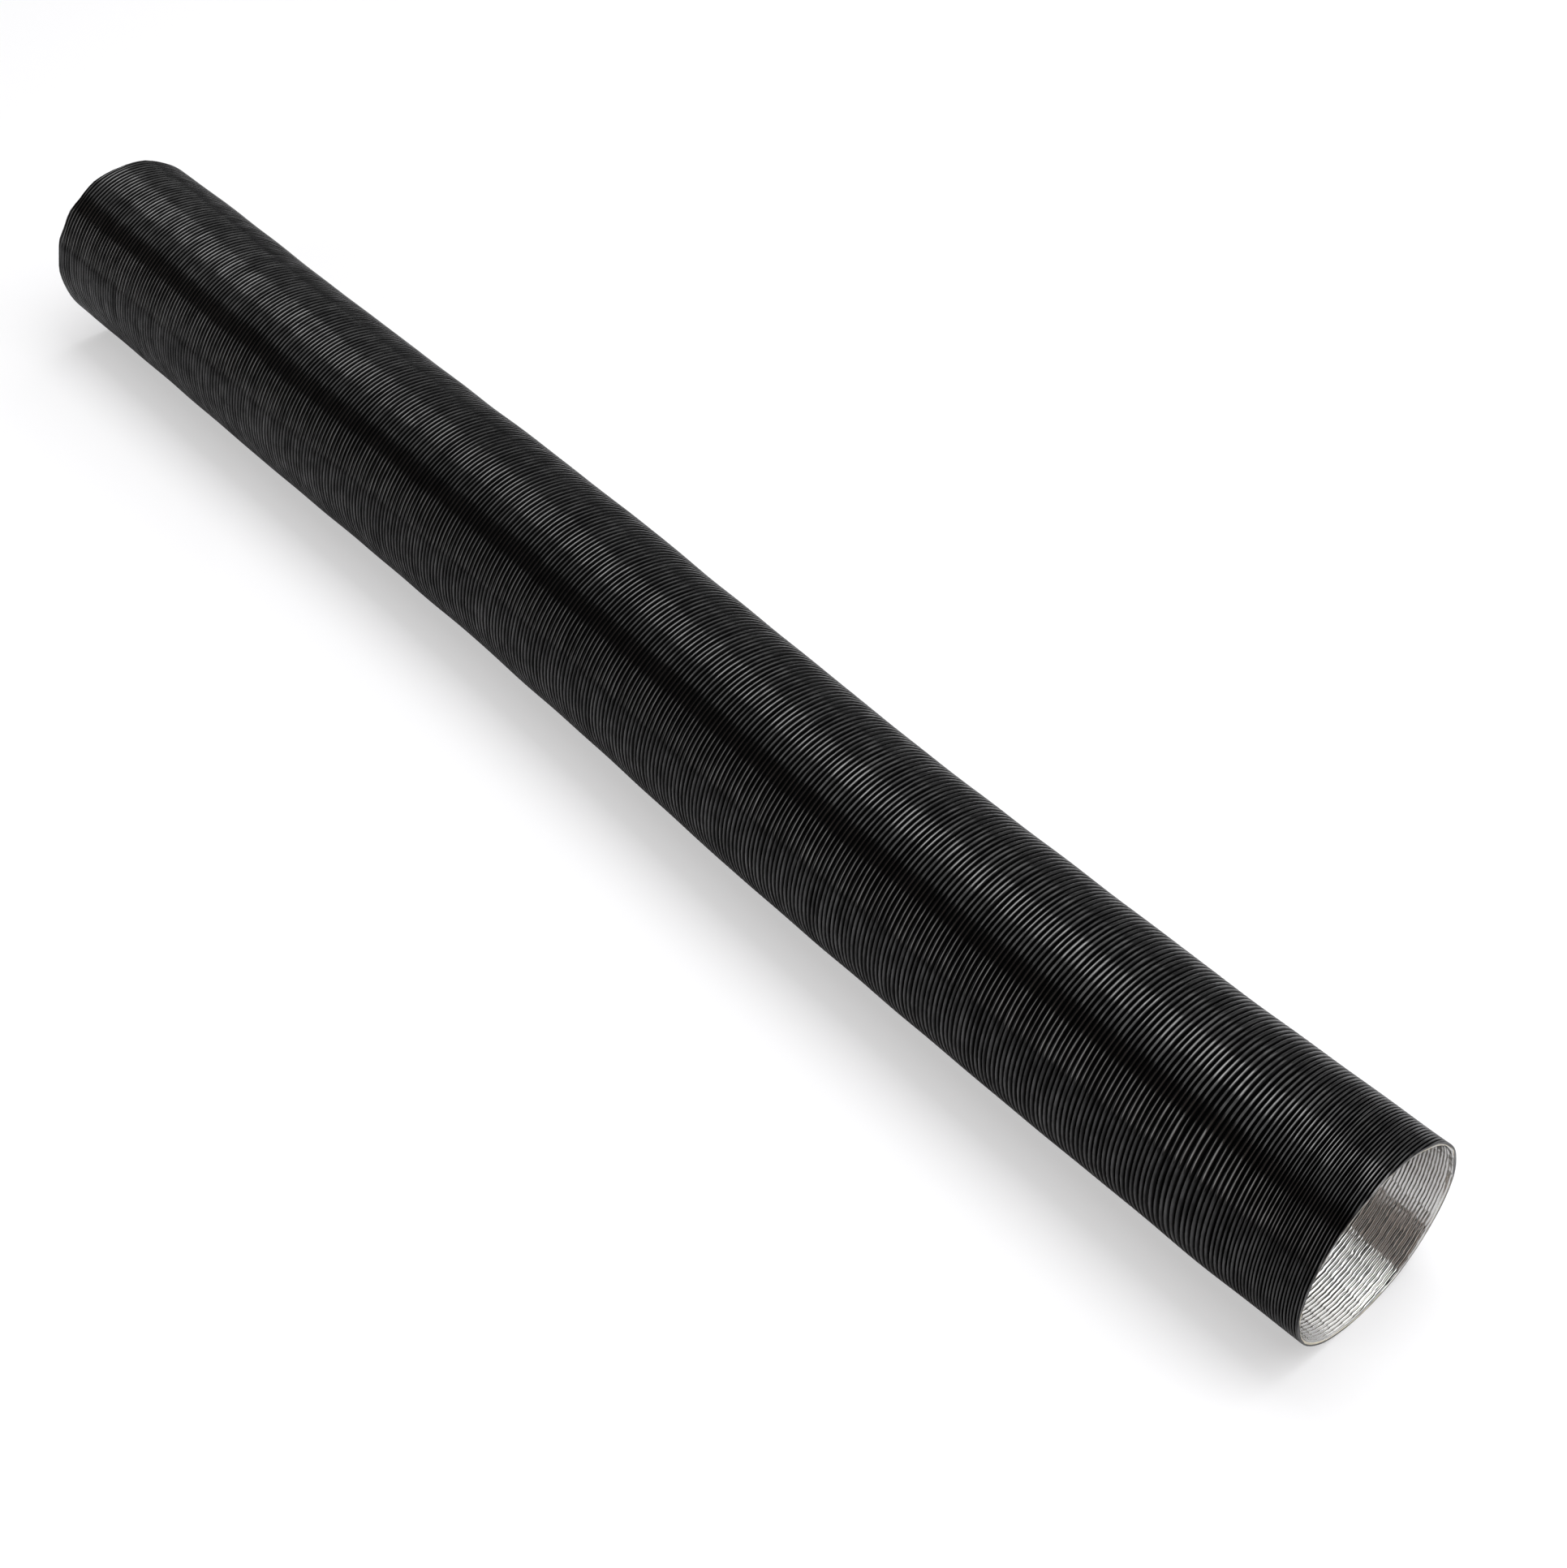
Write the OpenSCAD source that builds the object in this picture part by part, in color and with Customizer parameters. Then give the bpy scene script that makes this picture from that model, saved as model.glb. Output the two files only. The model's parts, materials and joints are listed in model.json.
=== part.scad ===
// Flexible air duct: a corrugated three-ply hose for warm air, lying straight on a flat surface.
// An aluminium foil liner, a kraft paper core and a black outer film are glued into one wall,
// so all three plies follow the same wave of ribs.
// +X runs along the duct towards its mouth, +Z is up, and z = 0 is the surface it lies on.

/* [Duct] */
// Clear bore between the inner crests, which is the size of the spigot that it fits
bore_d = 50; // [40:1:80]
// Height of a rib from its valley to its crest
rib_h = 0.9; // [0.7:0.1:1.2]

/* [Ribs] */
// Number of ribs along the part of the duct that is pulled out
open_ribs = 175; // [40:1:175]
// Spacing of the pulled-out ribs
open_pitch = 2.6; // [2.3:0.1:3.5]
// Number of ribs beside the mouth that are pressed together
pressed_ribs = 25; // [5:1:25]
// Spacing of the pressed ribs
pressed_pitch = 1.8; // [1.6:0.1:2.3]

/* [Wall] */
// Thickness of the aluminium foil liner
foil_t = 0.15; // [0.1:0.05:0.2]
// Thickness of the kraft paper core
paper_t = 0.2; // [0.15:0.05:0.3]
// Thickness of the black outer film
film_t = 0.15; // [0.1:0.05:0.2]

/* [Rest] */
// Depth to which the crests are pressed flat where the duct lies on them
flat_depth = 0.5; // [0.3:0.1:0.6]

/* [Hidden] */
$fn = 96;

rib_count = open_ribs + pressed_ribs;
open_l = open_ribs * open_pitch;
duct_l = open_l + pressed_ribs * pressed_pitch;

wall_t = foil_t + paper_t + film_t;
valley_r = bore_d / 2 + wall_t;
crest_r = valley_r + rib_h;
axis_z = crest_r - flat_depth;

// A rib is half a valley, a flank, a crest and the same again in mirror image.
// The wall is thin beside the rib, so the bore has the same wave as the outside.
valley_share = 0.28;
crest_share = 0.24;

// How far the air space runs past the cut ends of the wall.
past_end = 1;
// Space round the duct inside the block that trims it to the level that it rests at.
block_margin = 5;

function rib_pitch(i) = i < open_ribs ? open_pitch : pressed_pitch;
function rib_start(i) = i < open_ribs ? i * open_pitch : open_l + (i - open_ribs) * pressed_pitch;

// One rib's outline from the valley before it, as [radius, distance along the tube].
function rib(base_r, start, pitch) = [
    [base_r, start + pitch * valley_share / 2],
    [base_r + rib_h, start + pitch * (1 - crest_share) / 2],
    [base_r + rib_h, start + pitch * (1 + crest_share) / 2],
    [base_r, start + pitch * (1 - valley_share / 2)]
];

// Everything inside the ribbed surface that lies depth below the duct's outside.
module inside(depth, past = 0) {
    base_r = valley_r - depth;
    outline = [
        [0, -past],
        [base_r, -past],
        for (i = [0:rib_count - 1]) each rib(base_r, rib_start(i), rib_pitch(i)),
        [base_r, duct_l + past],
        [0, duct_l + past]
    ];
    block = [duct_l, 2 * crest_r, 2 * crest_r] + 2 * block_margin * [1, 1, 1];
    intersection() {
        translate([-duct_l / 2, 0, axis_z]) rotate([0, 90, 0]) rotate_extrude() polygon(outline);
        translate([-block[0] / 2, -block[1] / 2, depth]) cube(block);
    }
}

// One ply of the wall, from depth to depth + thickness below the duct's outside.
module ply(depth, thickness) {
    difference() {
        inside(depth);
        inside(depth + thickness, past_end);
    }
}

module outer_film() {
    color([0.03, 0.03, 0.035]) ply(0, film_t);
}

module paper_core() {
    color([0.78, 0.71, 0.58]) ply(film_t, paper_t);
}

module foil_liner() {
    color([0.82, 0.82, 0.8]) ply(film_t + paper_t, foil_t);
}

outer_film();
paper_core();
foil_liner();
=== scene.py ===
"""Dresses the flexible air duct: a wound, corrugated wall of black film, kraft paper and bare foil.

The duct's lengths are written in millimetres, as a maker states them, and every finished mesh is scaled to
metres. The duct is formed straight about its own axis, along X, and is then laid on its centreline. Angles
round it start straight down and grow towards +Y.
"""

import json
import logging
import math
from dataclasses import dataclass, field
from enum import Enum

import bmesh
import bpy
import numpy as np
from mathutils import Matrix, Vector

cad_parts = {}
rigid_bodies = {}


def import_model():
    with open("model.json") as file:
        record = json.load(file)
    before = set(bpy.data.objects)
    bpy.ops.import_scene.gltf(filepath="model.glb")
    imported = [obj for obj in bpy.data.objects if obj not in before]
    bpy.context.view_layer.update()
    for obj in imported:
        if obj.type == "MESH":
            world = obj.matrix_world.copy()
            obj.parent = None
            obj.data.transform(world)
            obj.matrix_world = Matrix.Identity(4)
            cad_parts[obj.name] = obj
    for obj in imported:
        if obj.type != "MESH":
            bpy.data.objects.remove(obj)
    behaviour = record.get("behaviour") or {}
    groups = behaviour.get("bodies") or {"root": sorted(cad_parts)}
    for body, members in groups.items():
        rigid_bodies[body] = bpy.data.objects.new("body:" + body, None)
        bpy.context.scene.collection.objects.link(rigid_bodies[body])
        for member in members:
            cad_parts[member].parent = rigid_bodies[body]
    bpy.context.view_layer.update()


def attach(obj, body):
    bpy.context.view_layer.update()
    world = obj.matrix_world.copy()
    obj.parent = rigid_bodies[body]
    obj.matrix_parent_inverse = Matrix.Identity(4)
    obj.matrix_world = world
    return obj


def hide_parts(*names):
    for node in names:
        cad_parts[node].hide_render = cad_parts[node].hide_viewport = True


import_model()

log = logging.getLogger("air_duct")

MM = 0.001
IMAGE_HEIGHT_PX = 1932
BODY = "root"

# Places nearer than this are one place, both as a length and as a share of a rib.
MERGE = 0.01
# A point this near to a cutting plane is on it, and an angle this near to a whole turn is 0.
EXACT = 1e-4
# The least thickness of a ply, where its ribbed face comes close to its plain one.
THINNEST = 0.05
# Ribs that are wound past both ends of a ply before it is cut to length.
SPARE_RIBS = 3
# A direction shorter than this has no length.
NO_LENGTH = 1e-9


# ---- Curves and meshes ----


def smoothstep(low: float, high: float, x: np.ndarray) -> np.ndarray:
    """Rises smoothly from 0 to 1.

    Args:
        low: where the rise starts.
        high: where it ends.
        x: the values to map.

    Returns:
        The eased share at each value.
    """
    t = np.clip((x - low) / (high - low), 0.0, 1.0)
    return t * t * (3.0 - 2.0 * t)


def zigzag(turns: np.ndarray) -> np.ndarray:
    """Swings in straight lines between -1 and 1, once for each whole turn."""
    return 4.0 * np.abs(turns - np.floor(turns) - 0.5) - 1.0


def unit(rows: np.ndarray) -> np.ndarray:
    """Scales each row to length 1, and leaves rows of no length alone."""
    return rows / np.maximum(np.linalg.norm(rows, axis=1), NO_LENGTH)[:, None]


@dataclass(frozen=True)
class Arc:
    """A smooth rise on the duct's rim: its middle, how far it reaches to each side, and its height."""

    middle_deg: float
    reach_deg: float
    height: float

    def at(self, angle: np.ndarray) -> np.ndarray:
        """Gives how high the arc has risen, at angles round the duct."""
        away = np.abs(np.mod(np.degrees(angle) - self.middle_deg + 180.0, 360.0) - 180.0)
        return self.height * (1.0 - smoothstep(0.0, self.reach_deg, away))


def read_items(
    items: bpy.types.bpy_prop_collection, name: str, width: int = 1, kind: type = np.float32
) -> np.ndarray:
    """Reads one property of all the vertices, faces, corners or attribute values of a mesh.

    Args:
        items: the mesh's items.
        name: the property.
        width: how many numbers each item has.
        kind: the type of number that the mesh keeps.

    Returns:
        One number, or one row of numbers, for each item.
    """
    out = np.empty(len(items) * width, kind)
    items.foreach_get(name, out)
    return out.reshape(-1, width) if width > 1 else out


def read_rows(items: bpy.types.bpy_prop_collection, name: str) -> np.ndarray:
    """Reads a vector of each item, as one precise row of three numbers."""
    return read_items(items, name, 3).astype(np.float64)


def write_places(mesh: bpy.types.Mesh, points: np.ndarray) -> None:
    """Moves a mesh's vertices to the rows of points."""
    mesh.vertices.foreach_set("co", points.astype(np.float32).ravel())
    mesh.update()


def write_attribute(mesh: bpy.types.Mesh, name: str, values: np.ndarray) -> None:
    """Stores a number or a vector for each vertex.

    Args:
        mesh: the mesh to change.
        name: the attribute's name.
        values: one number or one row of three for each vertex.
    """
    kind, slot = ("FLOAT", "value") if values.ndim == 1 else ("FLOAT_VECTOR", "vector")
    attribute = mesh.attributes.new(name, kind, "POINT")
    attribute.data.foreach_set(slot, values.astype(np.float32).ravel())


def everything(bm: bmesh.types.BMesh) -> list:
    """Lists a bmesh's vertices, edges and faces."""
    return bm.verts[:] + bm.edges[:] + bm.faces[:]


def to_mesh(bm: bmesh.types.BMesh, name: str) -> bpy.types.Mesh:
    """Turns a bmesh into a mesh, and frees it.

    Args:
        bm: the bmesh.
        name: the mesh's name.

    Returns:
        The new mesh.
    """
    mesh = bpy.data.meshes.new(name)
    bm.to_mesh(mesh)
    bm.free()
    return mesh


def add_object(name: str, data: bpy.types.ID) -> bpy.types.Object:
    """Puts a mesh, lamp or camera into the scene.

    Args:
        name: the object's name.
        data: the mesh, lamp or camera.

    Returns:
        The new object.
    """
    obj = bpy.data.objects.new(name, data)
    bpy.context.scene.collection.objects.link(obj)
    return obj


# ---- The duct's own facts ----


@dataclass(frozen=True)
class Lie:
    """How the duct lies: its length, the height of its axis and the gentle sway of its centreline.

    The sway is the sideways place of the centreline, from the far end to the mouth, at even steps.
    """

    length: float = 500.0
    axis_z: float = 25.9
    sway: tuple[float, ...] = (
        -1.3, -0.9, -0.75, -0.7, -0.55, -0.3, 0.05, 0.35, 0.45, 0.3, -0.1,
        -0.7, -1.3, -1.7, -1.8, -1.6, -1.25, -0.85, -0.3, 0.5, 1.8,
    )

    def stations(self) -> np.ndarray:
        """Returns the places along the duct where the sway is stated."""
        return np.linspace(-self.length / 2, self.length / 2, len(self.sway))

    def side(self, x: np.ndarray) -> tuple[np.ndarray, np.ndarray]:
        """Gives the centreline's sideways place and slope, from a smooth curve through the stations.

        Args:
            x: places along the duct.

        Returns:
            The sideways place and its slope at each of them.
        """
        places = self.stations()
        sway = np.array(self.sway)
        step = places[1] - places[0]
        rise = np.gradient(sway, step) * step
        k = np.clip(((x - places[0]) // step).astype(int), 0, len(places) - 2)
        t = (x - places[k]) / step
        a, b = sway[k], sway[k + 1]
        c, d = rise[k], rise[k + 1]
        square = 3 * (b - a) - 2 * c - d
        cube = 2 * (a - b) + c + d
        return a + c * t + square * t**2 + cube * t**3, (c + 2 * square * t + 3 * cube * t**2) / step

    def bend(self, points: np.ndarray, normals: np.ndarray) -> tuple[np.ndarray, np.ndarray]:
        """Carries a straight duct's points onto the swaying centreline.

        Args:
            points: places on the straight duct, about its axis.
            normals: the surface's directions at those places.

        Returns:
            The places and directions on the duct as it lies.
        """
        x, y, z = points.T
        nx, ny, nz = normals.T
        side, slope = self.side(x)
        c, s = np.cos(np.arctan(slope)), np.sin(np.arctan(slope))
        moved = np.stack([x - y * s, side + y * c, z + self.axis_z], axis=1)
        return moved, np.stack([nx * c - ny * s, nx * s + ny * c, nz], axis=1)

    def centreline(self) -> list[tuple[float, float, float]]:
        """Lists the centreline's points.

        Returns:
            The points in metres, from the mouth to the far end.
        """
        x = self.stations()[::-1]
        y, _ = self.side(x)
        return [(a * MM, b * MM, self.axis_z * MM) for a, b in zip(x, y)]


@dataclass(frozen=True)
class Winding:
    """How the ribs run: a shallow helix of several starts, pressed together beside the mouth.

    spacing holds the rib spacing at the distances from the mouth in spacing_at. Beside the mouth the ribs
    lean in plan by mouth_lean_deg, which fades between the two distances of lean_fades. The ribs are counted
    in steps of grid, past both ends by overrun. early_turns is more than the turns before the far end.
    """

    starts: int = 5
    spacing_at: tuple[float, ...] = (0.0, 15.0, 25.0, 35.0, 45.0, 120.0, 200.0, 500.0)
    spacing: tuple[float, ...] = (0.82, 0.86, 1.14, 1.44, 1.34, 1.37, 1.42, 1.42)
    mouth_lean_deg: float = 3.6
    lean_fades: tuple[float, float] = (15.0, 45.0)
    overrun: float = 12.0
    grid: float = 0.1
    early_turns: int = 4

    def counts(self, length: float) -> tuple[np.ndarray, np.ndarray]:
        """Counts the ribs along the duct.

        Args:
            length: the duct's length.

        Returns:
            Places along the duct, and the number of ribs between each place and the far end.
        """
        x = np.arange(-length / 2 - self.overrun, length / 2 + self.overrun, self.grid)
        spacing = np.interp(length / 2 - x, self.spacing_at, self.spacing)
        count = np.concatenate([[0.0], np.cumsum(self.grid / ((spacing[1:] + spacing[:-1]) / 2))])
        return x, count - np.interp(-length / 2, x, count)

    def lean(self, from_mouth: np.ndarray) -> np.ndarray:
        """Gives the tangent of how far the ribs lean in plan, at distances from the mouth."""
        fading = 1.0 - smoothstep(*self.lean_fades, from_mouth)
        return math.tan(math.radians(self.mouth_lean_deg)) * fading


LIE = Lie()
WINDING = Winding()


@dataclass(frozen=True)
class RaggedEnd:
    """A cut end that isn't a true plane: a ring of short straight runs.

    end is 1 at the mouth and -1 at the far end. depth is how far back the cut runs between its corners.
    """

    end: int
    corners: int
    depth: float


@dataclass(frozen=True)
class Unevenness:
    """The wall's slight waviness and the ragged cut of its two ends, alike for every ply.

    The waviness is a sum of seeded waves with up to most_lobes round the duct, and lies inwards by settled.
    The cut's runs differ in length by run_spread, in run_lobes round the duct, and fade out over cut_reach.
    """

    seed: int = 11
    waves: int = 14
    wave_lengths: tuple[float, float] = (22.0, 90.0)
    most_lobes: int = 3
    wave_height: float = 0.03
    settled: float = 0.12
    ends: tuple[RaggedEnd, ...] = (
        RaggedEnd(end=1, corners=9, depth=0.12),
        RaggedEnd(end=-1, corners=13, depth=0.7),
    )
    run_spread: float = 0.25
    run_lobes: int = 3
    cut_reach: float = 3.0

    def radial(self, x: np.ndarray, angle: np.ndarray) -> np.ndarray:
        """Gives how far the wall stands from its plain radius.

        Args:
            x: places along the duct.
            angle: the angle round the duct.

        Returns:
            The radial move at each point.
        """
        drawn = np.random.default_rng(self.seed)
        total = np.zeros_like(x)
        for _ in range(self.waves):
            length = drawn.uniform(*self.wave_lengths)
            lobes = drawn.integers(0, self.most_lobes + 1)
            total += np.sin(math.tau * x / length + lobes * angle + drawn.uniform(0, math.tau))
        return self.wave_height * total - self.settled

    def cut(self, x: np.ndarray, angle: np.ndarray) -> np.ndarray:
        """Gives how far each point near a ragged end moves along the duct.

        Args:
            x: places along the duct.
            angle: the angle round the duct.

        Returns:
            The move along the duct.
        """
        total = np.zeros_like(x)
        for ragged in self.ends:
            share = 1.0 - smoothstep(0.0, self.cut_reach, LIE.length / 2 - ragged.end * x)
            uneven = self.run_spread * np.sin(self.run_lobes * angle)
            run = zigzag(ragged.corners * angle / math.tau + uneven)
            total += share * ragged.depth * (run - 1.0) * ragged.end / 2
        return total


UNEVEN = Unevenness()


# ---- Wound points ----


class Strip:
    """Smooth random values along each of the helical ribs, the same on every run."""

    def __init__(self, seed: int, spacing_deg: float, turns: int = 95) -> None:
        """Draws the values.

        Args:
            seed: the seed of the random draw.
            spacing_deg: the angle between two values.
            turns: the turns that the values cover, which are more than a rib makes.
        """
        self.spacing_deg = spacing_deg
        count = int(turns * 360 / spacing_deg)
        self.values = np.random.default_rng(seed).uniform(-1.0, 1.0, (WINDING.starts, count))

    def at(self, start: np.ndarray, wound_deg: np.ndarray) -> np.ndarray:
        """Reads the values.

        Args:
            start: which helical rib each point is on.
            wound_deg: the whole angle wound since that rib began.

        Returns:
            A value from -1 to 1 at each point.
        """
        place = np.clip(wound_deg / self.spacing_deg, 0, self.values.shape[1] - 2)
        low = place.astype(int)
        ease = smoothstep(0.0, 1.0, place - low)
        return self.values[start, low] * (1 - ease) + self.values[start, low + 1] * ease


@dataclass
class Wound:
    """The points of a wound ply: their places in ribs from the far end, their angles and their faces."""

    counted: np.ndarray
    angle: np.ndarray
    ribbed: np.ndarray

    def __post_init__(self) -> None:
        """Works out each point's rib, its place across the rib and the angle wound since the rib began."""
        unwound = self.counted - WINDING.starts * self.angle / math.tau
        rib = np.floor(unwound + MERGE)
        self.phase = unwound - rib
        self.start = np.mod(rib, WINDING.starts).astype(int)
        turns = np.floor(rib / WINDING.starts) + WINDING.early_turns
        self.wound_deg = np.degrees(self.angle) + 360.0 * turns
        x, count = WINDING.counts(LIE.length)
        self.x = np.interp(self.counted, count, x)


@dataclass(frozen=True)
class Swing:
    """A random change along the helical ribs: long waves, with short ones on them where these have a share.

    size is the whole change's size, and the angles are the spacings of the values that each wave is drawn
    from. The short waves take the next seed.
    """

    size: float
    seed: int
    long_deg: float
    long_share: float = 1.0
    short_deg: float = 0.0
    short_share: float = 0.0

    def at(self, points: Wound) -> np.ndarray:
        """Gives the change at each of a ply's points.

        Args:
            points: the wound points.

        Returns:
            The change, which is positive or negative.
        """
        waves = self.long_share * Strip(self.seed, self.long_deg).at(points.start, points.wound_deg)
        if self.short_share:
            short = Strip(self.seed + 1, self.short_deg).at(points.start, points.wound_deg)
            waves = waves + self.short_share * short
        return self.size * waves


# ---- The plies ----


class Side(Enum):
    """Which face of a ply has the ribs that show."""

    OUTSIDE = 1
    INSIDE = -1


@dataclass(frozen=True)
class Section:
    """One ply's section, as radii about the duct's axis.

    The ribbed face runs between crest, which stands towards the viewer, and valley. back is the plain face
    against the next ply. The lip radii hold at the cut ends, where the wall is drawn out into a thin flared
    rim. The rest levels are the heights that both faces are pressed flat to where the duct lies on them.
    """

    side: Side
    crest: float
    valley: float
    back: float
    lip_face: float
    lip_back: float
    rest_face: float
    rest_back: float


FILM_SECTION = Section(
    Side.OUTSIDE, crest=26.4, valley=25.78, back=25.62, lip_face=26.38, lip_back=26.0,
    rest_face=0.0, rest_back=0.14,
)
PAPER_SECTION = Section(
    Side.OUTSIDE, crest=25.6, valley=25.6, back=25.48, lip_face=25.98, lip_back=25.9,
    rest_face=0.16, rest_back=0.28,
)
FOIL_SECTION = Section(
    Side.INSIDE, crest=25.06, valley=25.34, back=25.46, lip_face=25.76, lip_back=25.88,
    rest_face=0.44, rest_back=0.3,
)


@dataclass(kw_only=True)
class Ply:
    """A ply of the wall, wound as a helix, cut at both ends and closed into a solid skin.

    stretches are the lengths that the ply is made in, from their far ends to their ends nearer the mouth.
    around is the number of faces round the duct, and across the number across span ribs. The lip is how far
    from a cut end the faces begin to run out to the section's lip radii.
    """

    name: str
    slot: str
    section: Section
    stretches: dict[str, tuple[float, float]]
    around: int
    across: int
    span: int = 1
    lip: float = 0.5
    objects: list[bpy.types.Object] = field(default_factory=list)

    def relief(self, points: Wound) -> tuple[np.ndarray, np.ndarray]:
        """Gives the ribs of the face that shows.

        Args:
            points: the wound points.

        Returns:
            How far each point moves along the duct, and its radius.
        """
        return np.zeros_like(points.x), np.full_like(points.x, self.section.crest)

    def margin(self, angle: np.ndarray) -> np.ndarray:
        """Gives how far from the cut end the ribs begin to flatten, at each angle round the duct."""
        return np.full_like(angle, self.lip)

    def folds(self, angle: np.ndarray, share: np.ndarray) -> np.ndarray:
        """Gives how far the flattened rim stands from its plain radius.

        Args:
            angle: the angle round the duct.
            share: how flat the rim is at each point, from 0 to 1.

        Returns:
            The radial move at each point.
        """
        return np.zeros_like(angle)

    def shine(self, points: Wound, crest: np.ndarray) -> np.ndarray:
        """Gives how polished the face is.

        Args:
            points: the wound points.
            crest: how near each point is to a rib's crest, from 0 to 1.

        Returns:
            The share of the full polish at each point.
        """
        return np.zeros_like(crest)

    def wind(self) -> bpy.types.Mesh:
        """Winds the ply's two faces round the axis, with lengths along it counted in ribs.

        Returns:
            The wound mesh, open at both ends.
        """
        x, count = WINDING.counts(LIE.length)
        low = min(a for a, _ in self.stretches.values())
        high = max(b for _, b in self.stretches.values())
        first = math.floor(np.interp(low, x, count)) - WINDING.starts - SPARE_RIBS
        first -= first % self.span
        runs = math.ceil((np.interp(high, x, count) + SPARE_RIBS - first) / self.span)

        # A chain of points across span ribs is spun by one turn, and moves on by all the starts in it.
        bm = bmesh.new()
        ribbed_layer = bm.verts.layers.float.new("ribbed")
        chains = ((1.0, self.across, self.section.crest), (0.0, 1, self.section.back))
        for ribbed, steps, radius in chains:
            chain = [
                bm.verts.new((first + self.span * (k / steps), 0.0, -radius))
                for k in range(steps + 1)
            ]
            for v in chain:
                v[ribbed_layer] = ribbed
            for a, b in zip(chain, chain[1:]):
                bm.edges.new((a, b))
        bmesh.ops.spin(
            bm, geom=bm.verts[:] + bm.edges[:], cent=(0, 0, 0), axis=(1, 0, 0),
            dvec=(WINDING.starts / self.around, 0, 0), angle=math.tau, steps=self.around,
        )

        # Copies of that run, each span ribs further on, join up into the whole helix.
        made = 1
        while made < runs:
            more = min(made, runs - made)
            copy = bmesh.ops.duplicate(bm, geom=everything(bm))["geom"]
            verts = [g for g in copy if isinstance(g, bmesh.types.BMVert)]
            bmesh.ops.translate(bm, verts=verts, vec=(more * self.span, 0, 0))
            made += more
        bmesh.ops.remove_doubles(bm, verts=bm.verts, dist=MERGE)

        # Both faces come out facing away from the axis. The inner one is turned round, so that the rims
        # between the two close without a twist.
        bmesh.ops.recalc_face_normals(bm, faces=bm.faces)
        inner_ribbed = 0.0 if self.section.side is Side.OUTSIDE else 1.0
        inner = [f for f in bm.faces if f.verts[0][ribbed_layer] == inner_ribbed]
        bmesh.ops.reverse_faces(bm, faces=inner)
        return to_mesh(bm, self.name + "_wound")

    def form(self, mesh: bpy.types.Mesh) -> None:
        """Gives the wound faces their ribs, lips and real lengths, still straight.

        Args:
            mesh: the wound mesh, which is changed.
        """
        counted, y, z = read_rows(mesh.vertices, "co").T
        angle = np.mod(np.arctan2(y, -z), math.tau)
        angle[angle > math.tau - EXACT] = 0.0
        points = Wound(counted, angle, read_items(mesh.attributes["ribbed"].data, "value") > 0.5)

        section = self.section
        step, face = self.relief(points)
        depth = abs(section.crest - section.valley)
        crest = 1.0 - np.abs(face - section.crest) / depth if depth else np.ones_like(face)
        x = points.x + np.where(points.ribbed, step, 0.0)
        x = x - WINDING.lean(LIE.length / 2 - x) * np.sin(angle) * section.back

        # Beside the cut ends the ribs flatten, and both faces run out to the lip.
        from_end = LIE.length / 2 - np.abs(x)
        lip = 1.0 - smoothstep(0.0, self.lip, from_end)
        back = section.back * (1 - lip) + section.lip_back * lip
        flat = 1.0 - smoothstep(0.0, 1.0, from_end / self.margin(angle))
        face = face * (1 - flat) + (section.lip_face + self.folds(angle, flat)) * flat
        outward = section.side.value
        face = outward * np.maximum(outward * face, outward * back + THINNEST)

        # The whole wall is a little uneven, and it is pressed flat where the duct lies on it.
        radius = np.where(points.ribbed, face, back) + UNEVEN.radial(x, angle)
        rest = np.where(points.ribbed, section.rest_face, section.rest_back) - LIE.axis_z
        z = np.maximum(-radius * np.cos(angle), rest)
        write_places(mesh, np.stack([x, radius * np.sin(angle), z], axis=1))
        self.mark(mesh, points, crest, flat)

    def mark(self, mesh: bpy.types.Mesh, points: Wound, crest: np.ndarray, flat: np.ndarray) -> None:
        """Stores at each vertex what its corner normals and its material need.

        Args:
            mesh: the straight ply, which is changed.
            points: its wound points.
            crest: how near each point is to a rib's crest.
            flat: how flat the rim is at each point, from 0 to 1.
        """
        normals = read_rows(mesh.vertex_normals, "vector")
        radial = normals[:, 1] * np.sin(points.angle) - normals[:, 2] * np.cos(points.angle)
        outward = self.section.side.value
        facing = np.where(points.ribbed, outward, -outward)
        normals *= (np.where(radial < 0, -1.0, 1.0) * facing)[:, None]
        crest = np.clip(np.where(points.ribbed, np.maximum(crest, flat), 1.0), 0.0, 1.0)
        in_valley = points.ribbed & (np.abs(points.phase) < MERGE)
        write_attribute(mesh, "smooth", normals)
        write_attribute(mesh, "crest", crest)
        write_attribute(mesh, "shine", self.shine(points, crest))
        write_attribute(mesh, "crease", np.where(in_valley, 1.0 - flat, 0.0))

    def cut(self, mesh: bpy.types.Mesh, name: str, low: float, high: float) -> bpy.types.Mesh:
        """Cuts one stretch out of the straight ply and closes its rims.

        Args:
            mesh: the straight ply.
            name: the piece's name.
            low: the stretch's end nearer the far end.
            high: its end nearer the mouth.

        Returns:
            The closed stretch, still straight, with its rims' faces marked.
        """
        bm = bmesh.new()
        bm.from_mesh(mesh)
        for place, direction in ((high, 1.0), (low, -1.0)):
            bmesh.ops.bisect_plane(
                bm, geom=everything(bm), dist=EXACT, plane_co=(place, 0, 0), plane_no=(direction, 0, 0),
                clear_outer=True,
            )
        rim_layer = bm.faces.layers.int.new("rim")
        open_edges = [e for e in bm.edges if e.is_boundary]
        for place in (high, low):
            rim = [e for e in open_edges if abs(e.verts[0].co.x - place) < MERGE]
            for f in bmesh.ops.bridge_loops(bm, edges=rim)["faces"]:
                f[rim_layer] = 1
        bmesh.ops.recalc_face_normals(bm, faces=bm.faces)
        if bm.calc_volume(signed=True) < 0:
            bmesh.ops.reverse_faces(bm, faces=bm.faces)
        return to_mesh(bm, name)

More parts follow.
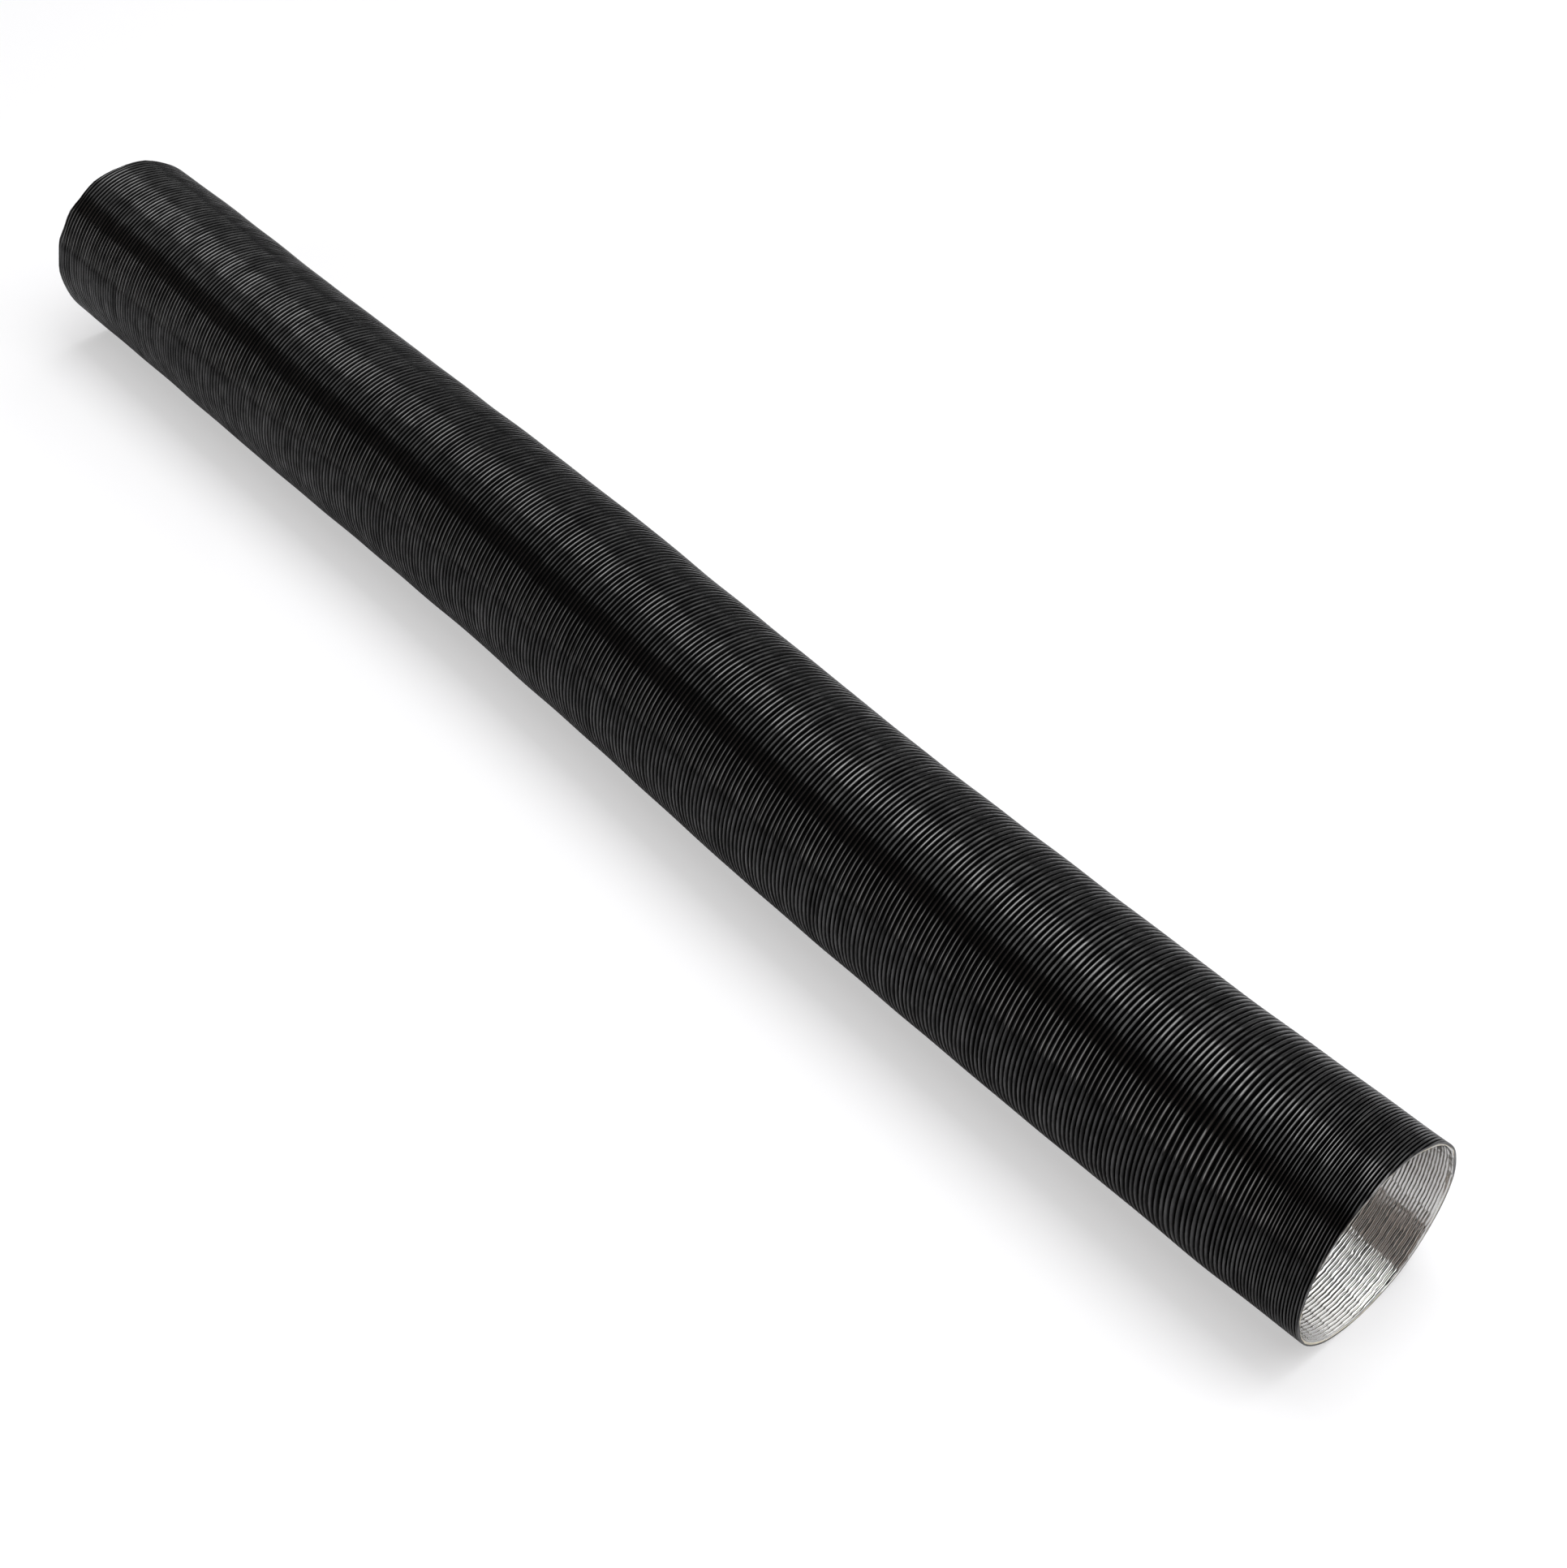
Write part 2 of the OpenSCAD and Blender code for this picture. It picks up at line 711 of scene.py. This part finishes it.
    def lay(self, piece: bpy.types.Mesh) -> bpy.types.Object:
        """Lays a closed stretch on the centreline and roughens its cut ends.

        Args:
            piece: the stretch, which is changed.

        Returns:
            The finished piece.
        """
        piece.shade_smooth()
        points = read_rows(piece.vertices, "co")
        angle = np.arctan2(points[:, 1], -points[:, 2])
        points[:, 0] += UNEVEN.cut(points[:, 0], angle)
        points, normals = LIE.bend(points, read_rows(piece.attributes["smooth"].data, "vector"))
        write_places(piece, points * MM)
        self.shade(piece, normals)
        return add_object(piece.name, piece)

    @staticmethod
    def shade(piece: bpy.types.Mesh, normals: np.ndarray) -> None:
        """Sets corner normals: smooth over the ribs and across the stretches, crisp at creases and rims.

        Args:
            piece: the finished mesh.
            normals: the smooth direction at each vertex.
        """
        corner = read_items(piece.loops, "vertex_index", kind=np.int32)
        sides = read_items(piece.polygons, "loop_total", kind=np.int32)
        own = np.repeat(read_items(piece.polygon_normals, "vector", 3), sides, axis=0)
        smooth = unit(normals)[corner]

        # At a crease a face keeps its own slope along the duct and is smooth only round it.
        along = own[:, :1]
        round_axis = unit(smooth * (0.0, 1.0, 1.0))
        creased = round_axis * np.sqrt(np.maximum(1.0 - along**2, 0.0)) + along * (1.0, 0.0, 0.0)
        crease = read_items(piece.attributes["crease"].data, "value")[corner]
        smooth = np.where(crease[:, None] > 0.5, creased, smooth)
        on_rim = np.repeat(read_items(piece.attributes["rim"].data, "value", kind=np.int32) > 0, sides)
        piece.normals_split_custom_set(np.where(on_rim[:, None], own, smooth).tolist())

    def build(self) -> None:
        """Makes every stretch of the ply."""
        wound = self.wind()
        self.form(wound)
        for stretch, (low, high) in self.stretches.items():
            obj = self.lay(self.cut(wound, f"{self.name}_{stretch}", low, high))
            self.objects.append(obj)
            triangles = len(obj.data.loops) - 2 * len(obj.data.polygons)
            log.info("%s: %d triangles", obj.name, triangles)
        bpy.data.meshes.remove(wound)

    def dress(self, material: bpy.types.Material) -> None:
        """Finishes every stretch and lets it ride on the duct's body.

        Args:
            material: the ply's finish.
        """
        for obj in self.objects:
            obj.data.materials.append(material)
            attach(obj, BODY)


@dataclass(kw_only=True)
class PaperCore(Ply):
    """The kraft paper between the two skins: a plain tube, which shows only at its cut ends."""

    name: str = "paper_core"
    slot: str = "kraft_paper"
    section: Section = PAPER_SECTION


@dataclass(kw_only=True)
class OuterFilm(Ply):
    """The black film outside: full, rounded ribs with narrow valleys, each a little unlike the next.

    fullness is how square a rib's hump is, and skew, height and sway are its random lean, height and path.
    The polish grows between two levels of a rib, from 0 in the valley to 1 on the crest. They are those of
    polished by the mouth and those of polished_far at the far end. polish_loss is the greatest random loss.
    """

    name: str = "outer_film"
    slot: str = "black_film"
    section: Section = FILM_SECTION
    fullness: float = 3.0
    fullness_swing: Swing = Swing(0.8, seed=14, long_deg=13.0)
    skew: Swing = Swing(0.22, seed=12, long_deg=17.0, long_share=0.6, short_deg=7.0, short_share=0.4)
    height: Swing = Swing(0.16, seed=5, long_deg=23.0, long_share=0.7, short_deg=9.0, short_share=0.3)
    sway: Swing = Swing(0.08, seed=3, long_deg=31.0, short_deg=11.0, short_share=0.5)
    polished: tuple[float, float] = (0.8, 0.98)
    polished_far: tuple[float, float] = (0.55, 0.9)
    polish_loss: float = 0.6
    polish_swing: Swing = Swing(
        1.0, seed=15, long_deg=21.0, long_share=0.5, short_deg=7.0, short_share=0.5
    )

    def relief(self, points: Wound) -> tuple[np.ndarray, np.ndarray]:
        """Gives the film's ribs.

        Args:
            points: the wound points.

        Returns:
            How far each point moves along the duct, and its radius.
        """
        place = 2.0 * points.phase - 1.0
        place = place + self.skew.at(points) * (1.0 - place**2)
        drop = np.abs(place) ** (self.fullness + self.fullness_swing.at(points))
        height = (self.section.crest - self.section.valley) * (1.0 + self.height.at(points))
        hump = np.sin(math.pi * points.phase) ** 2
        return self.sway.at(points) * hump, self.section.crest - height * drop

    def shine(self, points: Wound, crest: np.ndarray) -> np.ndarray:
        """Polishes the crests, which rub, and leaves the flanks dull.

        Args:
            points: the wound points.
            crest: how near each point is to a rib's crest, from 0 to 1.

        Returns:
            The share of the full polish at each point.
        """
        far = 1.0 - smoothstep(-LIE.length / 2, 0.0, points.x)
        share = smoothstep(*self.polished, crest) * (1.0 - far) + smoothstep(*self.polished_far, crest) * far
        return share * (1.0 - self.polish_loss * (1.0 + self.polish_swing.at(points)) / 2.0)


@dataclass(kw_only=True)
class FoilLiner(Ply):
    """The bare foil inside: plain ribs in short straight runs with kinks between them, and a folded rim.

    The kinks stand in rows along the duct, which drift round it by drift runs a millimetre. A row steps by
    row_step times a depth, which has its mean and spread in row_depth and its radians for each millimetre
    and each row in row_waves. Each kink has a step and a pinch of its own, of a random strength from
    kink_least to 1 and up to jitter of a run out of its row.

    The ribs flatten further from the cut end on the arcs in flattened. fold_waves, each with its lobes round
    the duct, size and phase, make the rim's folds unlike each other. They are high on the arc in folded.
    """

    name: str = "foil_liner"
    slot: str = "bare_foil"
    section: Section = FOIL_SECTION
    fullness: float = 1.5
    height: Swing = Swing(0.15, seed=8, long_deg=13.0)
    runs: int = 42
    drift: float = 0.03
    row_step: float = 0.15
    row_depth: tuple[float, float] = (0.65, 0.35)
    row_waves: tuple[float, float] = (0.9, 2.4)
    wander: float = 0.03
    wander_turns: tuple[float, float] = (0.37, 0.11)
    kink_seed: int = 7
    kink_turns: int = 100
    kink_step: float = 0.12
    kink_least: float = 0.2
    kink_reach: float = 0.06
    jitter: float = 0.12
    pinch: float = 0.09
    pinch_width: float = 0.3
    flattened: tuple[Arc, ...] = (Arc(106.0, 64.0, 1.7), Arc(-60.0, 45.0, 0.4))
    flat_spread: float = 0.3
    fold_count: int = 13
    fold_waves: tuple[tuple[int, float, float], ...] = ((3, 0.9, 1.0), (7, 0.5, 0.0))
    fold_height: float = 0.5
    fold_least: float = 0.2
    folded: Arc = Arc(108.0, 66.0, 0.8)
    fold_slant: float = 0.4
    flake: Arc = Arc(-128.0, 12.0, 0.9)

    def relief(self, points: Wound) -> tuple[np.ndarray, np.ndarray]:
        """Gives the foil's ribs with their kinks.

        Args:
            points: the wound points.

        Returns:
            How far each point moves along the duct, and its radius.
        """
        place = self.runs * points.angle / math.tau + self.drift * points.x
        row = np.rint(place)
        mean, spread = self.row_depth
        radians_mm, radians_row = self.row_waves
        depth = mean + spread * np.sin(radians_mm * points.x + radians_row * row)
        turns_run, turns_mm = self.wander_turns
        wander = self.wander * zigzag(turns_run * place + turns_mm * points.x)
        shared = wander + self.row_step * depth * self.saw(place - row)

        drawn = np.random.default_rng(self.kink_seed)
        shape = (WINDING.starts, self.kink_turns * self.runs)
        jitter = drawn.uniform(-self.jitter, self.jitter, shape)
        strength = drawn.uniform(self.kink_least, 1.0, shape)
        kink = np.rint(points.wound_deg * self.runs / 360.0 + self.drift * points.x)
        kink = np.clip(kink, 0, shape[1] - 1).astype(int)
        away = place - row - jitter[points.start, kink]
        away_mm = away * math.tau / self.runs * self.section.crest
        hump = np.sin(math.pi * points.phase) ** 2
        own = self.kink_step * strength[points.start, kink] * self.saw(away) * hump
        pinch = self.pinch * np.exp(-((away_mm / self.pinch_width) ** 2)) * strength[points.start, kink]

        rise = np.abs(2.0 * points.phase - 1.0) ** self.fullness
        height = (self.section.valley - self.section.crest) * (1.0 + self.height.at(points))
        return shared + own, self.section.crest + height * rise + pinch * (1.0 - rise)

    def saw(self, away: np.ndarray) -> np.ndarray:
        """Climbs along a run and drops back at its kink, by the distance from the kink in runs."""
        return away + 0.5 - smoothstep(-self.kink_reach, self.kink_reach, away)

    def margin(self, angle: np.ndarray) -> np.ndarray:
        """Gives how far from the cut end the ribs begin to flatten, at each angle round the duct."""
        uneven = 1.0 + self.flat_spread * zigzag(0.5 * self.fold_turns(angle))
        return sum((arc.at(angle) for arc in self.flattened), start=self.lip) * uneven

    def fold_turns(self, angle: np.ndarray) -> np.ndarray:
        """Gives the place along the rim's uneven folds, in whole folds, at each angle round the duct."""
        waves = (size * np.sin(lobes * angle + phase) for lobes, size, phase in self.fold_waves)
        return sum(waves, start=self.fold_count * angle / math.tau)

    def folds(self, angle: np.ndarray, share: np.ndarray) -> np.ndarray:
        """Gives the relief of the rim's folds and of its flake.

        Args:
            angle: the angle round the duct.
            share: how flat the rim is at each point, from 0 to 1.

        Returns:
            The radial move at each point.
        """
        height = self.fold_height * (self.fold_least + self.folded.at(angle))
        folded = height * np.maximum(zigzag(self.fold_turns(angle) + self.fold_slant * share), 0.0)
        return -folded - self.flake.at(angle)


# ---- Finishes ----


@dataclass
class Nodes:
    """A short way to place and join shader nodes."""

    tree: bpy.types.NodeTree

    @classmethod
    def cleared(cls, owner: bpy.types.Material | bpy.types.World) -> "Nodes":
        """Empties the node tree of a material or a world.

        Args:
            owner: the material or the world.

        Returns:
            Its empty nodes.
        """
        owner.use_nodes = True
        owner.node_tree.nodes.clear()
        return cls(owner.node_tree)

    def add(self, kind: str, inputs: dict | None = None, **settings: object) -> bpy.types.Node:
        """Places a node.

        Args:
            kind: the node's type.
            inputs: plain values or sockets for its inputs, by name or number.
            settings: the node's own settings.

        Returns:
            The new node.
        """
        node = self.tree.nodes.new(kind)
        for key, value in settings.items():
            setattr(node, key, value)
        for key, value in (inputs or {}).items():
            if isinstance(value, bpy.types.NodeSocket):
                self.tree.links.new(value, node.inputs[key])
            else:
                node.inputs[key].default_value = value
        return node

    def seen_as(self, unseen: bpy.types.Node, seen: bpy.types.Node) -> bpy.types.NodeSocket:
        """Shows the camera one shader and everything else another.

        Args:
            unseen: the shader that lights and that other pieces mirror.
            seen: the shader that the camera sees.

        Returns:
            The mixed shader's output.
        """
        camera_ray = self.add("ShaderNodeLightPath").outputs["Is Camera Ray"]
        shaders = {0: camera_ray, 1: unseen.outputs[0], 2: seen.outputs[0]}
        return self.add("ShaderNodeMixShader", shaders).outputs[0]


def skin_variation() -> bpy.types.NodeTree:
    """Makes the shared group that varies a drawn skin with slow blotches and fine grain.

    Returns:
        The node group, which puts out both as masks.
    """
    tree = bpy.data.node_groups.new("skin_variation", "ShaderNodeTree")
    for name, scale in (("Blotch Scale", 60.0), ("Grain Scale", 900.0)):
        tree.interface.new_socket(name, in_out="INPUT", socket_type="NodeSocketFloat").default_value = scale
    for name in ("Blotch", "Grain"):
        tree.interface.new_socket(name, in_out="OUTPUT", socket_type="NodeSocketFloat")
    n = Nodes(tree)
    given = n.add("NodeGroupInput")
    place = n.add("ShaderNodeTexCoord").outputs["Object"]
    masks = {}
    for name, detail in (("Blotch", 4.0), ("Grain", 3.0)):
        noise = {"Vector": place, "Scale": given.outputs[name + " Scale"], "Detail": detail}
        masks[name] = n.add("ShaderNodeTexNoise", noise).outputs["Fac"]
    n.add("NodeGroupOutput", masks)
    return tree


@dataclass(frozen=True)
class Skin:
    """A finish of one of the plies.

    Its two colours run across a rib, from the valley to the crest: the foil's darker valleys are painted
    shade in its grooves, and the film's crests are a trace lighter than its valleys. The two roughnesses run
    across a rib too, and the blotches then spread them. grain_bump is the height of its fine grain in
    millimetres. A skin with a polish has a second, clear gloss where the ply shines, with its own roughness
    and index of refraction. The polish fades to polish_worn in the blotches, between the two levels of
    worn_blotches.
    """

    name: str
    valley_shade_colour: tuple[float, float, float]
    crest_colour: tuple[float, float, float]
    valley_rough: float
    crest_rough: float
    rough_spread: float
    metal: float
    specular: float
    blotch_scale: float
    grain_scale: float
    grain_bump: float
    spread_blotches: tuple[float, float] = (0.3, 0.7)
    polish_rough: float = 0.0
    polish_ior: float = 1.5
    polish_worn: float = 0.55
    worn_blotches: tuple[float, float] = (0.35, 0.6)

    def material(self, variation: bpy.types.NodeTree) -> bpy.types.Material:
        """Makes the material.

        Args:
            variation: the shared group of blotches and grain.

        Returns:
            The new material.
        """
        material = bpy.data.materials.new(self.name)
        n = Nodes.cleared(material)
        scales = {"Blotch Scale": self.blotch_scale, "Grain Scale": self.grain_scale}
        skin = n.add("ShaderNodeGroup", scales, node_tree=variation)
        crest = n.add("ShaderNodeAttribute", attribute_name="crest").outputs["Fac"]
        # The base colour runs across a rib from the valley colour to the crest colour, so the foil's grooves
        # carry painted shade.
        colours = {0: crest, 6: (*self.valley_shade_colour, 1.0), 7: (*self.crest_colour, 1.0)}
        colour = n.add("ShaderNodeMix", colours, data_type="RGBA")
        across_rib = {"Value": crest, "To Min": self.valley_rough, "To Max": self.crest_rough}
        rough = n.add("ShaderNodeMapRange", across_rib)
        spread = self.blotches(n, skin, self.spread_blotches, (-self.rough_spread, self.rough_spread))
        roughness = n.add("ShaderNodeMath", {0: rough.outputs[0], 1: spread}, operation="ADD")
        grain = {"Height": skin.outputs["Grain"], "Strength": 1.0, "Distance": self.grain_bump * MM}
        bump = n.add("ShaderNodeBump", grain)
        shader = n.add(
            "ShaderNodeBsdfPrincipled",
            {"Base Color": colour.outputs[2], "Roughness": roughness.outputs[0], "Metallic": self.metal,
             "Specular IOR Level": self.specular, "Normal": bump.outputs[0]},
        )
        if self.polish_rough:
            shine = n.add("ShaderNodeAttribute", attribute_name="shine").outputs["Fac"]
            worn = self.blotches(n, skin, self.worn_blotches, (self.polish_worn, 1.0))
            weight = n.add("ShaderNodeMath", {0: shine, 1: worn}, operation="MULTIPLY")
            n.tree.links.new(weight.outputs[0], shader.inputs["Coat Weight"])
            shader.inputs["Coat Roughness"].default_value = self.polish_rough
            shader.inputs["Coat IOR"].default_value = self.polish_ior
        n.add("ShaderNodeOutputMaterial", {"Surface": shader.outputs[0]})
        return material

    @staticmethod
    def blotches(
        n: Nodes, skin: bpy.types.Node, levels: tuple[float, float], to: tuple[float, float]
    ) -> bpy.types.NodeSocket:
        """Maps the blotches onto a range of values.

        Args:
            n: the material's nodes.
            skin: the node of the shared group.
            levels: the blotches' levels at the two ends of the range.
            to: the range.

        Returns:
            The mapped value's socket.
        """
        mapped = {
            "Value": skin.outputs["Blotch"], "From Min": levels[0], "From Max": levels[1],
            "To Min": to[0], "To Max": to[1],
        }
        return n.add("ShaderNodeMapRange", mapped).outputs[0]


BLACK_FILM = Skin(
    "black_film",
    valley_shade_colour=(0.001, 0.001, 0.001), crest_colour=(0.0015, 0.0015, 0.0016),
    valley_rough=0.3, crest_rough=0.24, rough_spread=0.03,
    metal=0.0, specular=0.06,
    blotch_scale=260.0, grain_scale=2500.0, grain_bump=0.006,
    polish_rough=0.14, polish_ior=1.85,
)
# The foil's darker valley colour is painted shade in the grooves between its ribs.
BARE_FOIL = Skin(
    "bare_foil",
    valley_shade_colour=(0.75, 0.74, 0.72), crest_colour=(0.92, 0.92, 0.91),
    valley_rough=0.2, crest_rough=0.1, rough_spread=0.03,
    metal=1.0, specular=0.5,
    blotch_scale=200.0, grain_scale=1800.0, grain_bump=0.012,
)
KRAFT_PAPER = Skin(
    "kraft_paper",
    valley_shade_colour=(0.62, 0.55, 0.42), crest_colour=(0.82, 0.76, 0.62),
    valley_rough=0.9, crest_rough=0.85, rough_spread=0.05,
    metal=0.0, specular=0.3,
    blotch_scale=400.0, grain_scale=3000.0, grain_bump=0.04,
)


# ---- Camera, floor and light ----


@dataclass(frozen=True)
class Softbox:
    """A soft lamp over the duct, as the light that a polished duct lying along X would mirror.

    edges_deg are its two long edges, measured round X from straight up, positive towards +Y. reach is its
    distance from X and shift its place along it. Its lengths are in metres.
    """

    name: str
    edges_deg: tuple[float, float]
    reach: float
    length: float
    radiance: float
    shift: float = 0.0
    colour: tuple[float, float, float] = (1.0, 1.0, 1.0)

    def hang(self) -> None:
        """Hangs the lamp, facing the duct."""
        low, high = self.edges_deg
        middle = math.radians((low + high) / 2)
        width = 2 * self.reach * math.tan(math.radians((high - low) / 2))
        data = bpy.data.lights.new(self.name, "AREA")
        data.shape = "RECTANGLE"
        data.size = self.length
        data.size_y = width
        data.energy = self.radiance * math.pi * self.length * width
        data.color = self.colour
        back = Vector((0.0, math.sin(middle), math.cos(middle)))
        along = Vector((1.0, 0.0, 0.0))
        turn = Matrix((along, back.cross(along), back)).transposed().to_4x4()
        lamp = add_object(self.name, data)
        lamp.matrix_world = Matrix.Translation(back * self.reach + along * self.shift) @ turn


@dataclass(frozen=True)
class Studio:
    """The camera, the pale floor and the soft lamps.

    The camera's place is in millimetres, and its focal length in pixels of the whole image. The floor
    reaches floor_reach metres to each side, and glows by floor_lift only as the camera sees it.
    """

    camera_at: tuple[float, float, float] = (425.5, -312.5, 495.0)
    look_deg: float = 139.54
    down_deg: float = 44.6
    focal_px: float = 3334.7
    sensor: float = 36.0
    clip: tuple[float, float] = (0.01, 100.0)
    softboxes: tuple[Softbox, ...] = (
        Softbox("key_softbox", (-2.0, 27.0), reach=1.3, length=0.95, radiance=4.2),
        Softbox("overhead_diffuser", (-24.0, 60.0), reach=1.2, length=1.6, radiance=1.2),
        Softbox("front_softbox", (-84.0, -46.0), reach=1.2, length=0.75, radiance=2.2),
        Softbox("rear_reflector", (62.0, 86.0), reach=1.4, length=2.4, radiance=0.3),
        Softbox("mouth_diffuser", (-24.0, 60.0), reach=1.2, length=1.2, radiance=1.7, shift=1.0),
        Softbox("mouth_reflector", (60.0, 88.0), reach=1.2, length=1.3, radiance=0.7, shift=0.95),
        Softbox(
            "warm_reflector", (-86.0, -24.0), reach=1.2, length=1.9, radiance=0.3, shift=0.75,
            colour=(1.0, 0.83, 0.74),
        ),
    )
    surroundings: float = 0.015
    surroundings_colour: tuple[float, float, float] = (0.95, 0.97, 1.0)
    floor_colour: tuple[float, float, float] = (0.48, 0.48, 0.49)
    floor_lift: float = 0.46
    floor_reach: float = 6.0

    def camera(self) -> None:
        """Makes the camera that the scene is seen through."""
        data = bpy.data.cameras.new("camera")
        data.sensor_width = self.sensor
        data.lens = self.focal_px * self.sensor / IMAGE_HEIGHT_PX
        data.clip_start, data.clip_end = self.clip
        cam = add_object("camera", data)
        cam.location = Vector(self.camera_at) * MM
        cam.rotation_euler = (math.radians(90 - self.down_deg), 0.0, math.radians(self.look_deg - 90))
        bpy.context.scene.camera = cam

    def light(self) -> None:
        """Hangs the lamps and sets the plain surroundings, which are dim but seen as white."""
        for softbox in self.softboxes:
            softbox.hang()
        world = bpy.data.worlds.new("surroundings")
        bpy.context.scene.world = world
        n = Nodes.cleared(world)
        colour = (*self.surroundings_colour, 1.0)
        dim = n.add("ShaderNodeBackground", {"Color": colour, "Strength": self.surroundings})
        white = n.add("ShaderNodeBackground", {"Color": (1.0, 1.0, 1.0, 1.0), "Strength": 1.0})
        n.add("ShaderNodeOutputWorld", {"Surface": n.seen_as(dim, white)})

    def floor(self) -> None:
        """Lays the pale floor, which keeps the duct's shadow."""
        bm = bmesh.new()
        bmesh.ops.create_grid(bm, x_segments=1, y_segments=1, size=self.floor_reach)
        mesh = to_mesh(bm, "floor")
        material = bpy.data.materials.new("floor_white")
        n = Nodes.cleared(material)
        paint = n.add("ShaderNodeBsdfDiffuse", {"Color": (*self.floor_colour, 1.0)})
        glow = n.add("ShaderNodeEmission", {"Color": (1.0, 1.0, 1.0, 1.0), "Strength": self.floor_lift})
        lifted = n.add("ShaderNodeAddShader", {0: paint.outputs[0], 1: glow.outputs[0]})
        n.add("ShaderNodeOutputMaterial", {"Surface": n.seen_as(paint, lifted)})
        mesh.materials.append(material)
        add_object("floor", mesh)


# ---- The whole duct ----


@dataclass
class AirDuct:
    """The duct's three plies: black film, kraft paper and bare foil.

    The film's joints share out its faces. A look into the ends reaches mouth_look and far_look, and the foil
    is wound finely there and plainly between.
    """

    film_joints: tuple[float, float] = (-76.0, 98.0)
    mouth_look: float = 22.0
    far_look: float = 12.0

    def __post_init__(self) -> None:
        """Sets out the plies, the paper that carries the others first."""
        half = LIE.length / 2
        far_joint, mouth_joint = self.film_joints
        far_seen = self.far_look - half
        mouth_seen = half - self.mouth_look
        self.paper = PaperCore(stretches={"tube": (-half, half)}, around=88, across=5, span=5)
        self.plies: tuple[Ply, ...] = (
            self.paper,
            OuterFilm(
                stretches={
                    "mouth": (mouth_joint, half),
                    "middle": (far_joint, mouth_joint),
                    "far": (-half, far_joint),
                },
                around=72,
                across=10,
            ),
            FoilLiner(stretches={"mouth": (mouth_seen, half)}, around=400, across=8, lip=0.3),
            FoilLiner(stretches={"middle": (far_seen, mouth_seen)}, around=46, across=5, pinch=0.1),
            FoilLiner(stretches={"far": (-half, far_seen)}, around=300, across=6),
        )

    def build(self) -> None:
        """Makes the plies."""
        for ply in self.plies:
            ply.build()

    def dress(self) -> None:
        """Finishes the plies, hides the parts that they take the place of, and works out the duct's
        centreline.
        """
        variation = skin_variation()
        finishes = {skin.name: skin.material(variation) for skin in (BLACK_FILM, KRAFT_PAPER, BARE_FOIL)}
        for ply in self.plies:
            ply.dress(finishes[ply.slot])
            for obj in ply.objects:
                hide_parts(ply.name)
        route = LIE.centreline()


def main() -> None:
    """Builds the studio and the duct."""
    logging.basicConfig(level=logging.INFO, format="%(name)s: %(message)s")
    bpy.context.scene.view_settings.view_transform = "Standard"
    studio = Studio()
    studio.camera()
    duct = AirDuct()
    duct.build()
    duct.dress()
    studio.light()
    studio.floor()


if __name__ == "__main__":
    main()
